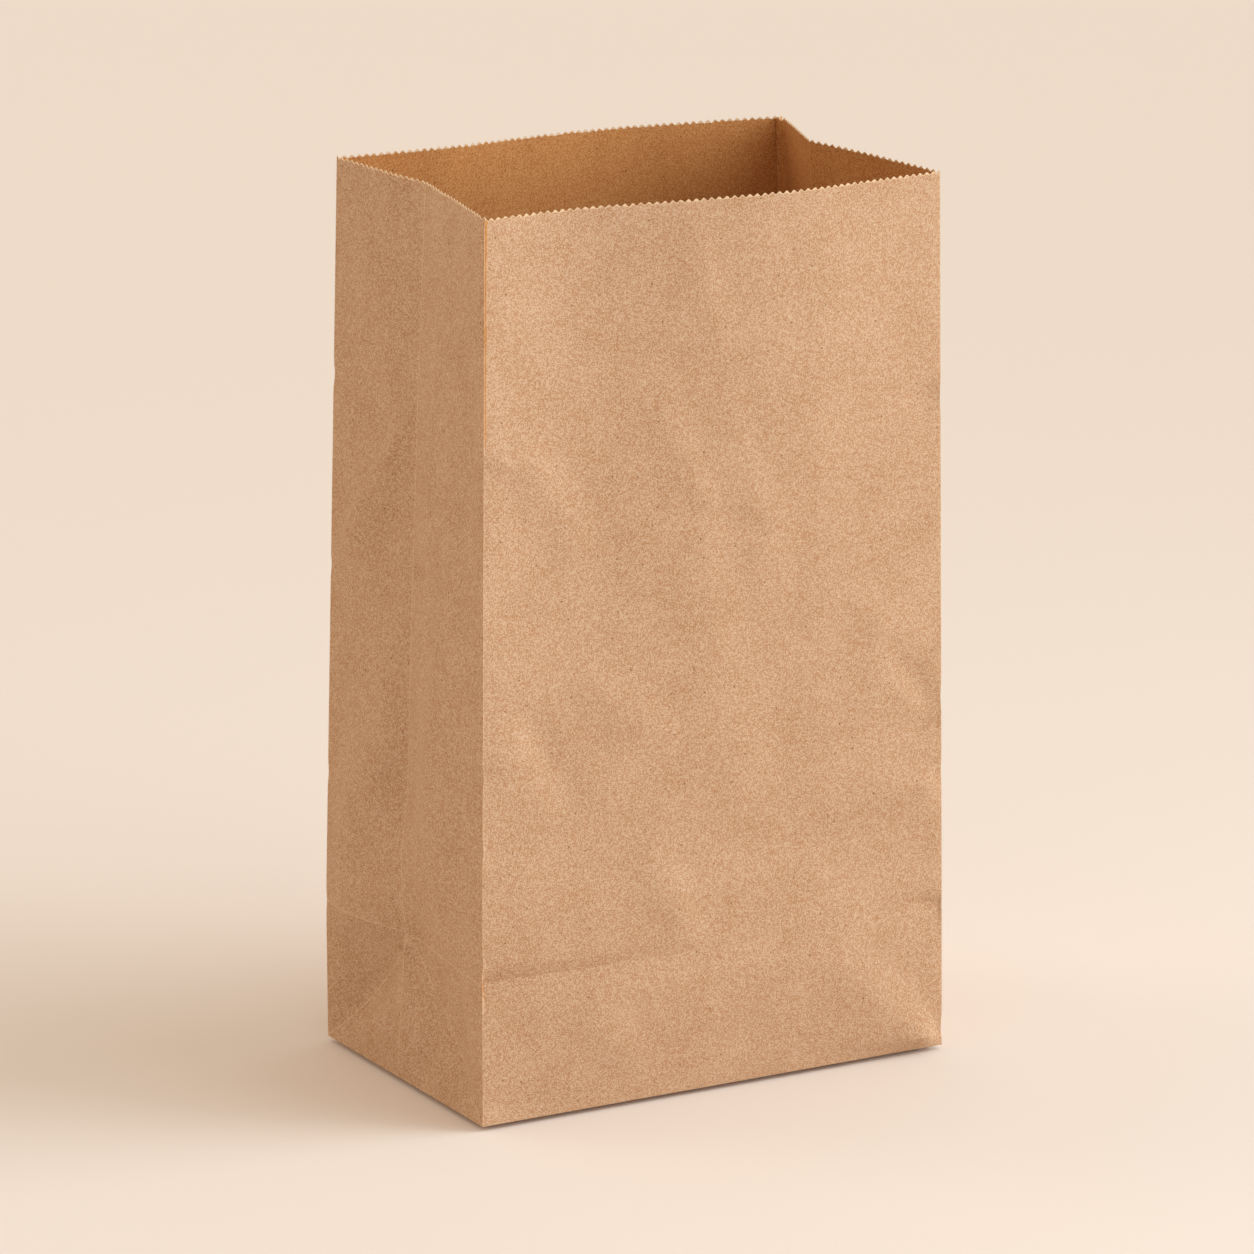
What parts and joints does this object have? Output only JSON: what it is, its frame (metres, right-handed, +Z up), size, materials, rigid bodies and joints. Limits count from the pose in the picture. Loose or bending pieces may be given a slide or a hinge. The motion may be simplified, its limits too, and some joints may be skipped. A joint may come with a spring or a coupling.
{
  "type": "paper lunch bag",
  "caption": "Open standing kraft paper lunch bag with folded side gussets, glued block bottom, long back seam and a pinked mouth",
  "frame": {"origin": "On the supporting surface, under the middle of the bag's rectangular base", "axes": "+Z up out of the mouth, +X to the right along the wide front panel, +Y to the back, so the front panel faces -Y and the gussets face -X and +X"},
  "size_m": [0.1535, 0.104, 0.2593],
  "materials": {
    "kraft_paper": "unbleached brown kraft, matt, soft fibre mottle, lightly creased, paler cut edge"
  },
  "bodies": {
    "root": {"paper_bag": "kraft_paper"}
  },
  "joints": []
}
